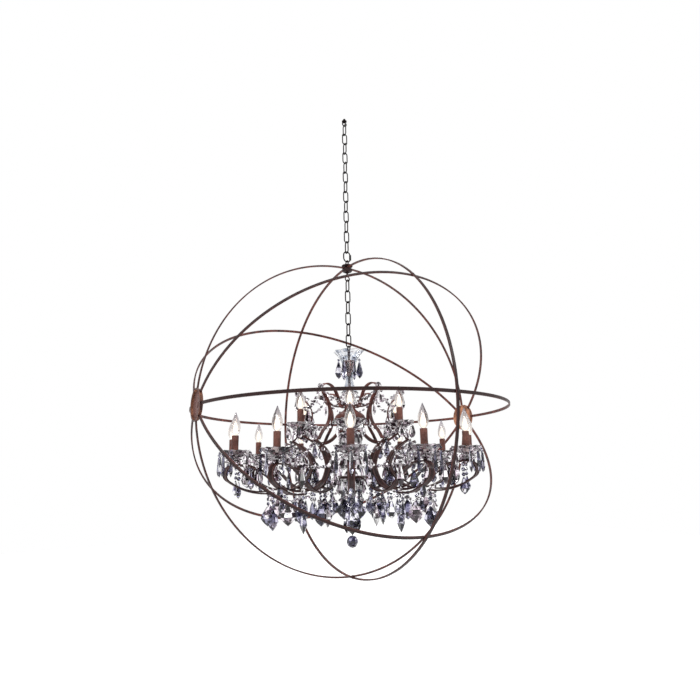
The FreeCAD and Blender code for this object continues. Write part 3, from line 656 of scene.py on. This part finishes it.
def build_column():
    trumpet = shape(scallop, TRUMPET, 32, 8, 3.2, 26)
    piece("trumpet_glass", "candelabra", "clear_glass", [(trumpet, Matrix.Identity(4))], ["glass_trumpet"])
    turned_piece("socket_ferrule", "rusted_iron", [FERRULE], "ferrule", 32, 30, sleeve_paint)
    turned_piece("cut_spools", "smoke_crystal", [COLLAR, SPOOL], "glass_spools", 16, None, pale_crystal)
    turned_piece("bell", "rusted_iron", [BELL], "bell_cup", 48, 30)
    turned_piece("cut_bowl", "smoke_crystal", [BOWL], "smoke_bowl", 20, None, pale_crystal)
    turned_piece("cut_dish", "smoke_crystal", [DISH], "lower_dish", 20, None, pale_crystal)
    rod_low = -270.0
    rod_top = lowest("lower_chain") + WIRE + 0.05 + WIRE / 2 - 2 * EYE_RADIUS
    stem = shape(make_round_bar, 5, rod_low, rod_top)
    piece("stem_rod", "candelabra", "rusted_iron",
          [(stem, Matrix.Identity(4)), (eye_shape, moved(0, 0, rod_top) @ CROSSWISE)], ["centre_rod"], 35)
    ring_low = lowest("finial") + 1.2
    piece("end_cap", "candelabra", "rusted_iron",
          [(shape(make_turned, CAP, 32, False), Matrix.Identity(4)), (small_ring, moved(0, 0, ring_low))],
          ["finial"], 35)


# ---- branches ----
def strap_outline(width, thickness):
    """Section of a scroll: flat iron with two raised borders on each face."""
    half, deep = width / 2, thickness / 2
    border = 0.16 * width
    side = [(-half, deep - 0.5), (-half + 0.6, deep), (-half + border, deep), (-half + border + 1, deep - 0.9),
            (half - border - 1, deep - 0.9), (half - border, deep), (half - 0.6, deep), (half, deep - 0.5)]
    return side + [(across, -out) for across, out in reversed(side)]


LOWER_SCROLL = ((45, -226), 14, [(81, -52), (125, 83), (175, -50), (27, -139), (210, -42)])
CRESCENT_TOP = ((226, -106), 199, [(123, 53)])
LYRE = ((18, 24), -25, [(50, 87), (70, -87), (15.5, -133), (64, 53), (61, 69), (200, -18)])
UPPER_SCROLL = ((26, -65), -7, [(55, -41), (81, 83), (66, -35)])


def path_end(start, heading, turns):
    """Where tangent arcs end, and their heading there."""
    x, z = start
    angle = math.radians(heading)
    for radius, degrees in turns:
        side = 1 if degrees > 0 else -1
        cx = x - side * radius * math.sin(angle)
        cz = z + side * radius * math.cos(angle)
        angle += math.radians(degrees)
        x = cx + side * radius * math.sin(angle)
        z = cz - side * radius * math.cos(angle)
    return x, z, math.degrees(angle)


def build_branches():
    waist_x, waist_z, heading = path_end(*CRESCENT_TOP)
    foot = ((waist_x, waist_z), 282, [(96, 74)])
    broad = strap_outline(20, 4.4)
    narrow = strap_outline(12, 4.4)
    lower = [shape(bent_bar, *path, broad) for path in (LOWER_SCROLL, CRESCENT_TOP, foot)]
    stamps = [(bar, rolled(angle, "Z")) for angle in lower_angles() for bar in lower]
    piece("lower_scrolls", "candelabra", "rusted_iron", stamps, ["lower_arms"], 35, BRANCH)
    lyre = shape(bent_bar, *LYRE, narrow)
    piece("lyres", "candelabra", "rusted_iron", [(lyre, rolled(a, "Z")) for a in lyre_angles()],
          ["lyre_scrolls"], 35, BRANCH)
    upper = shape(bent_bar, *UPPER_SCROLL, narrow)
    piece("upper_scrolls", "candelabra", "rusted_iron", [(upper, rolled(a, "Z")) for a in upper_angles()],
          ["upper_arms"], 35, BRANCH)


# ---- candles, drawn round Z with the bobeche's rim at zero ----
CUP = [(0, -43.5), (4.5, -43.5), (5.5, -41), (4.8, -38), (6.5, -35), (9.2, -32), (10, -29), (9.4, -27.5),
       (10, -25.5), (10, -21.6), (0, -21.6)]
BOBECHE = [(11, -21.5), (19, -21.5), (27, -18.5), (35, -13.5), (42, -6.5), (48, 0.5), (47, 2), (40.5, -4.2),
           (33, -11), (26, -15.8), (19, -18.5), (11, -19)]
SLEEVE = [(7.4, 46.6), (10, 46.6), (10.8, 45.8), (10.9, 38), (10.7, 20), (10.9, -8), (11.4, -16), (12, -19),
          (7.4, -19)]
BULB = [(0, 31.6), (6.2, 31.6), (6.2, 47.6), (8.2, 49.5), (12.2, 55), (14.8, 62), (15.6, 69), (15.4, 76),
        (13.8, 85), (11.0, 94), (7.8, 102), (4.8, 109), (2.6, 114), (1.2, 118.4), (0, 119.6)]
HEART = [(0, 48.5), (3, 50), (5.2, 55), (6.4, 61), (6.6, 67), (5.6, 75), (3.4, 84), (1.4, 90), (0, 92)]
UNDER_GLASS = [(10.4, -22), (18, -23.5), (27, -28.5), (29, -32), (22, -34), (15, -37.5), (10.4, -38.5)]


def build_candles():
    places = [out_at(*candle) for candle in candles()]
    cup = shape(make_turned, CUP, 24, False)
    piece("turned_cups", "candelabra", "rusted_iron", [(cup, place) for place in places], ["candle_cups"], 35)
    bobeche = shape(scallop, BOBECHE, 24, 12, 2.6, 24)
    under = shape(scallop, UNDER_GLASS, 16, 8, 2.0, 16)
    piece("glass_bobeches", "candelabra", "smoke_crystal",
          [(mesh, place) for place in places for mesh in (bobeche, under)], ["bobeches"], finish=petal_glass)
    sleeve = shape(make_turned, SLEEVE, 28, True)
    piece("tall_sleeves", "candelabra", "sleeve_brown", [(sleeve, place) for place in places],
          ["candle_sleeves"], 35)
    bulb = shape(make_turned, BULB, 24, False)
    heart = shape(make_turned, HEART, 16, False)
    heart_faces = len(heart.polygons)
    for k, place in enumerate(places):
        name = "%02d" % (k + 1)
        lamp = piece("candle_bulb_" + name, "lamp_" + name, "bulb_glass", [(heart, place), (bulb, place)],
                     ["bulb_" + name], 60)
        lamp.data.materials.append(bulb_heart)
        for face in lamp.data.polygons[:heart_faces]:
            face.material_index = 1
        heights = [vert.co.z for vert in lamp.data.vertices]
        low, high = min(heights), max(heights)
        rise = lamp.data.attributes.new("up_the_bulb", "FLOAT", "POINT")
        rise.data.foreach_set("value", [(height - low) / (high - low) for height in heights])


# ---- crystals ----
def cut_drop(bm, length, width, depth, sides):
    """A pear-shaped drop cut in facets, hanging from the origin."""
    outline = [(0, 0), (0.22, 0.03), (0.3, 0.1), (0.66, 0.36), (1.0, 0.66), (0.62, 0.86), (0, 1)]
    lathe(bm, [(share * width / 2, -down * length) for share, down in outline], sides)
    bmesh.ops.scale(bm, vec=(1, depth / width, 1), verts=bm.verts)


def cut_spear(bm, length, width):
    outline = [(0, 0), (0.35, 0.02), (0.5, 0.08), (0.75, 0.45), (1.0, 0.74), (0.55, 0.9), (0, 1)]
    lathe(bm, [(share * width / 2, -down * length) for share, down in outline], 6)


def cut_kite(bm, length, width, depth):
    """A broad leaf-shaped drop with a keel down each face."""
    outline = [(0, 0), (0.22, 0.05), (0.5, 0.22), (0.84, 0.4), (1.0, 0.62), (0.55, 0.83), (0, 1)]
    lathe(bm, [(share * width / 2, -down * length) for share, down in outline], 6)
    bmesh.ops.scale(bm, vec=(1, depth / width, 1), verts=bm.verts)


def cut_bead(bm, width, depth):
    """A flat cut bead in the XZ plane, hanging from the origin."""
    outline = [(0, depth / 2), (0.28 * width, depth / 2), (width / 2, 0), (0.28 * width, -depth / 2),
               (0, -depth / 2)]
    lathe(bm, outline, 6)
    bmesh.ops.rotate(bm, cent=(0, 0, 0), matrix=Matrix.Rotation(math.radians(90), 3, "X"), verts=bm.verts)
    bmesh.ops.translate(bm, vec=(0, 0, -width / 2), verts=bm.verts)


def cut_button(bm, width, depth):
    lathe(bm, [(0, 0), (0.3 * width, 0), (width / 2, 0.4 * depth), (0.25 * width, depth), (0, depth)], 10)
    bmesh.ops.rotate(bm, cent=(0, 0, 0), matrix=Matrix.Rotation(math.radians(90), 3, "Y"), verts=bm.verts)


def cut_ball(bm, radius):
    bmesh.ops.create_uvsphere(bm, u_segments=10, v_segments=7, radius=radius)


spear = shape(cut_spear, 66, 12)
almond = shape(cut_drop, 42, 23, 12, 6)
pendalogue = shape(cut_drop, 52, 29, 14, 6)
kite = shape(cut_kite, 66, 48, 17)
long_drop = shape(cut_drop, 64, 27, 13, 6)
bead = shape(cut_bead, 14, 7)
small_bead = shape(cut_bead, 11, 6)
garland_bead = shape(cut_bead, 15, 7)
button = shape(cut_button, 16, 6)
large_button = shape(cut_button, 24, 9)
faceted_ball = shape(cut_ball, 20)


def hung(mesh, place, spin_range=25):
    """A drop that hangs at a place, turned a little by chance about its wire."""
    return mesh, place @ rolled(pick.uniform(-spin_range, spin_range), "Z")


def rim_stamps(wanted):
    """Bead and drop on each petal; wanted picks a drop for a light's tier and the petal's turn."""
    stamps = []
    for angle, reach, rim in candles():
        for side in (0, 60, 120, 180, 240, 300):
            drop = wanted(reach, side)
            if drop is None:
                continue
            place = out_at(angle, reach, rim) @ rolled(side, "Z") @ moved(46, 0, -2)
            stamps.append(hung(small_bead, place @ rolled(90, "Z")))
            stamps.append(hung(drop, place @ moved(0, 0, -12) @ rolled(90, "Z")))
    return stamps


def outer_spears(reach, side):
    return spear if reach == LOWER_REACH and side in (0, 60, 300) else None


def other_almonds(reach, side):
    return None if outer_spears(reach, side) else almond


def swag(start, end, sag, pitch, mesh):
    """Beads along a slack string between two points."""
    start, end = Vector(start), Vector(end)
    count = max(3, int(((end - start).length + 2 * sag * sag / (end - start).length) / pitch))
    stamps = []
    for k in range(count):
        t = (k + 0.5) / count
        point = start.lerp(end, t) - Vector((0, 0, 4 * sag * t * (1 - t)))
        slope = (end - start) / count - Vector((0, 0, 4 * sag * (1 - 2 * t) / count))
        turn = slope.to_track_quat("-Z", "Y").to_matrix().to_4x4()
        stamps.append((mesh, Matrix.Translation(point) @ turn @ rolled(pick.uniform(-40, 40), "Z")))
    return stamps


def polar(angle, reach, height):
    turn = math.radians(angle)
    return reach * math.cos(turn), reach * math.sin(turn), height


BEAD_PITCH = 15


def string_of(beads, drop, place):
    """A few beads with a drop below them, hung at a place."""
    stamps = [hung(bead, place @ moved(0, 0, -BEAD_PITCH * k), 70) for k in range(beads)]
    stamps.append(hung(drop, place @ moved(0, 0, -BEAD_PITCH * beads), 70))
    return stamps


def ring_swag(angle, step, reach, height, sag, drops):
    """A swag from one branch to the next, and the drops spread along it."""
    start, end = polar(angle, reach, height), polar(angle + step, reach, height)
    stamps = swag(start, end, sag, 17, garland_bead)
    for k, drop in enumerate(drops):
        t = (k + 0.5) / len(drops)
        point = Vector(start).lerp(Vector(end), t) - Vector((0, 0, 4 * sag * t * (1 - t) + 6))
        stamps += string_of(0, drop, Matrix.Translation(point) @ rolled(angle, "Z"))
    return stamps


def build_garlands():
    """Strings of beads that join the column, the lyres and the candles."""
    stamps = []
    for angle in lyre_angles():
        stamps += swag(polar(angle, 32, 66), polar(angle, 186, 76), 34, 17, garland_bead)
        stamps += ring_swag(angle, 60, 192, 66, 58, [pendalogue])
        stamps += swag(polar(angle, 54, -22), polar(angle + 60, 54, -22), 16, 13, small_bead)
    for angle in upper_angles():
        stamps += swag(polar(angle, 54, -24), polar(angle, 150, -47), 20, 17, garland_bead)
    for angle in lower_angles():
        stamps += swag(polar(angle, 228, -108), polar(angle, 368, -140), 36, 17, garland_bead)
        stamps += ring_swag(angle, 30, 372, -142, 50, [long_drop, long_drop])
        stamps += ring_swag(angle, 30, 285, -268, 24, [kite])
        stamps += ring_swag(angle, 30, 226, -106, 40, [pendalogue])
    piece("bead_garlands", "candelabra", "smoke_crystal", stamps, finish=pale_crystal)


def build_crystals():
    piece("rim_spears", "candelabra", "smoke_crystal", rim_stamps(outer_spears), ["spear_drops"])
    piece("rim_almonds", "candelabra", "smoke_crystal", rim_stamps(other_almonds), ["almond_drops"],
          finish=pale_crystal)
    scroll_x, scroll_z, heading = path_end(*LOWER_SCROLL)
    hanging = []
    for angle in lower_angles():
        hanging += string_of(3, kite, out_at(angle, scroll_x, scroll_z - 4))
        hanging += string_of(2, kite, out_at(angle, 191, -274))
        hanging += string_of(2, pendalogue, out_at(angle, 240, -264))
        hanging += string_of(1, pendalogue, out_at(angle, 361, -189))
        hanging += string_of(1, pendalogue, out_at(angle, 149, -192))
        hanging += string_of(0, pendalogue, out_at(angle, 226, -112))
        hanging += string_of(2, kite, out_at(angle + 15, 96, -262))
        hanging += string_of(3, pendalogue, out_at(angle, 401, -184))
    piece("scroll_kites", "candelabra", "smoke_crystal", hanging, ["kite_drops"])
    waist_x, waist_z, heading = path_end(*CRESCENT_TOP)
    buttons = []
    for angle in lower_angles():
        buttons.append((large_button, out_at(angle, waist_x - 2, waist_z) @ rolled(180, "Z")))
        buttons.append((button, out_at(angle, scroll_x, scroll_z + 8)))
    for angle in lyre_angles():
        buttons.append((large_button, out_at(angle, 187, 68)))
        buttons += string_of(0, pendalogue, out_at(angle, 190, 56))
    piece("glass_rosettes", "candelabra", "smoke_crystal", buttons, ["rosettes"], finish=pale_crystal)
    trumpet_drops = []
    for k in range(6):
        place = out_at(FRONT + 30 + 60 * k, 38, 195)
        trumpet_drops += [hung(small_bead, place), hung(long_drop, place @ moved(0, 0, -11))]
    piece("trumpet_drops", "candelabra", "smoke_crystal", trumpet_drops)
    blades = []
    for k in range(6):
        long_blade = rolled(90, "Z") @ Matrix.Diagonal((0.7, 0.8, 1.45, 1))
        blades.append((kite, out_at(FRONT + 60 * k, 34, -252) @ long_blade))
    piece("dish_blades", "candelabra", "smoke_crystal", blades, ["blade_drops"])
    on_the_column = []
    for k in range(12):
        on_the_column.append(hung(pendalogue, out_at(FRONT + 15 + 30 * k, 43, -234), 70))
        on_the_column.append(hung(pendalogue, out_at(FRONT + 15 + 30 * k, 31, -74), 70))
        on_the_column.append(hung(pendalogue, out_at(FRONT + 30 * k, 27, -150), 70))
    piece("column_drops", "candelabra", "smoke_crystal", on_the_column, finish=pale_crystal)
    build_garlands()


def make_spreader(bm, height):
    lathe(bm, [(0, height - 2.4), (25, height - 2.4), (26, height - 1.2), (25, height), (0, height)], 32)


def build_ball():
    """Wire, spreader and faceted ball under the column."""
    hook_low = (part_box("finial")[0].z - CENTRE_Z) / MM + 1.2 + 2.4 + 0.3 - 11
    wire_bar = shape(make_round_bar, 1.2, -420, hook_low + 0.6)
    stamps = [(small_ring, moved(0, 0, hook_low) @ CROSSWISE), (wire_bar, Matrix.Identity(4)),
              (shape(make_spreader, -344), Matrix.Identity(4))]
    piece("ball_wire", "ball", "rusted_iron", stamps, [], 40)
    piece("cut_ball", "ball", "smoke_crystal", [(faceted_ball, moved(0, 0, -437))], ["ball_drop"])
    drops = [(kite, out_at(FRONT + 120 * k, 21, -346.6) @ rolled(90, "Z")) for k in range(3)]
    drops += [hung(almond, out_at(FRONT + 60 + 120 * k, 22, -346.6)) for k in range(3)]
    piece("ball_leaves", "ball", "smoke_crystal", drops, ["ball_kites"])


# ---- studio ----
def build_camera():
    """The photograph's standpoint, in millimetres from the orb's centre, and its small tilts."""
    azimuth, rise, distance = -0.5523, -0.1084, 1834.965
    yaw, pitch, roll = 0.0025, -0.1208, 0.0199
    focal_share = 510.377 / 700
    back = Vector((math.sin(azimuth) * math.cos(rise), -math.cos(azimuth) * math.cos(rise), math.sin(rise)))
    right = (-back).cross(Vector((0, 0, 1))).normalized()
    up = right.cross(-back)
    axes = (Matrix.Rotation(roll, 3, "Z") @ Matrix.Rotation(pitch, 3, "X") @ Matrix.Rotation(yaw, 3, "Y")
            @ Matrix((right, up, back)))
    camera = bpy.data.objects.new("camera", bpy.data.cameras.new("camera"))
    bpy.context.scene.collection.objects.link(camera)
    camera.matrix_world = Matrix.Translation(ORB_TO_FRAME @ (back * distance)) @ axes.transposed().to_4x4()
    camera.data.sensor_width = 36.0
    camera.data.lens = 36.0 * focal_share
    camera.data.clip_start = 0.05
    camera.data.clip_end = 50
    bpy.context.scene.camera = camera


def light_path_share(tree, names):
    """The largest of some Light Path outputs."""
    path = tree.nodes.new("ShaderNodeLightPath")
    share = path.outputs[names[0]]
    for name in names[1:]:
        larger = tree.nodes.new("ShaderNodeMath")
        larger.operation = "MAXIMUM"
        tree.links.new(share, larger.inputs[0])
        tree.links.new(path.outputs[name], larger.inputs[1])
        share = larger.outputs[0]
    return share


def build_studio():
    world = bpy.data.worlds.new("studio")
    bpy.context.scene.world = world
    world.use_nodes = True
    tree = world.node_tree
    background = tree.nodes["Background"]
    background.inputs["Color"].default_value = (1, 1, 1, 1)
    seen = light_path_share(tree, ["Is Camera Ray", "Is Glossy Ray", "Is Transmission Ray"])
    tree.links.new(spread(tree, seen, 0.45, 1.0), background.inputs["Strength"])
    for name, strength, tilt, turn in (("key", 1.5, 48, -65), ("fill", 0.7, 62, 40), ("rim", 0.6, 40, 170)):
        lamp = bpy.data.lights.new(name, "SUN")
        lamp.energy = strength
        lamp.angle = math.radians(14)
        sun = bpy.data.objects.new(name, lamp)
        sun.rotation_euler = (math.radians(tilt), 0, math.radians(turn))
        bpy.context.scene.collection.objects.link(sun)
    bm = bmesh.new()
    bmesh.ops.create_grid(bm, x_segments=1, y_segments=1, size=9)
    bmesh.ops.translate(bm, vec=(0, 0, cad_low.z - 0.9), verts=bm.verts)
    mesh = bpy.data.meshes.new("floor")
    bm.to_mesh(mesh)
    bm.free()
    floor = bpy.data.objects.new("floor", mesh)
    bpy.context.scene.collection.objects.link(floor)
    material, tree, shader, mottle = new_material("pale_floor", 1.5, 12)
    tone = blend_colours(tree, mottle.outputs["Patches"], (0.93, 0.93, 0.93, 1), (0.95, 0.95, 0.95, 1))
    tree.links.new(tone, shader.inputs["Base Color"])
    shader.inputs["Roughness"].default_value = 0.9
    shader.inputs["Specular IOR Level"].default_value = 0.0
    shader.inputs["Emission Color"].default_value = (1, 1, 1, 1)
    seen = light_path_share(tree, ["Is Camera Ray", "Is Glossy Ray", "Is Transmission Ray"])
    tree.links.new(spread(tree, seen, 0.0, 0.35), shader.inputs["Emission Strength"])
    mesh.materials.append(material)
    bpy.context.scene.view_settings.view_transform = "Standard"


def dress_solids():
    """Solids that stay in view take the finish of their slot."""
    for part in frame["record"]["subparts"]:
        solid = frame["nodes"][part["node"]]
        solid.data.materials.clear()
        solid.data.materials.append(FINISHES[part["material_slot"]])


dress_solids()
build_camera()
build_studio()
build_chain()
build_orb()
build_column()
build_branches()
build_candles()
build_crystals()
build_ball()
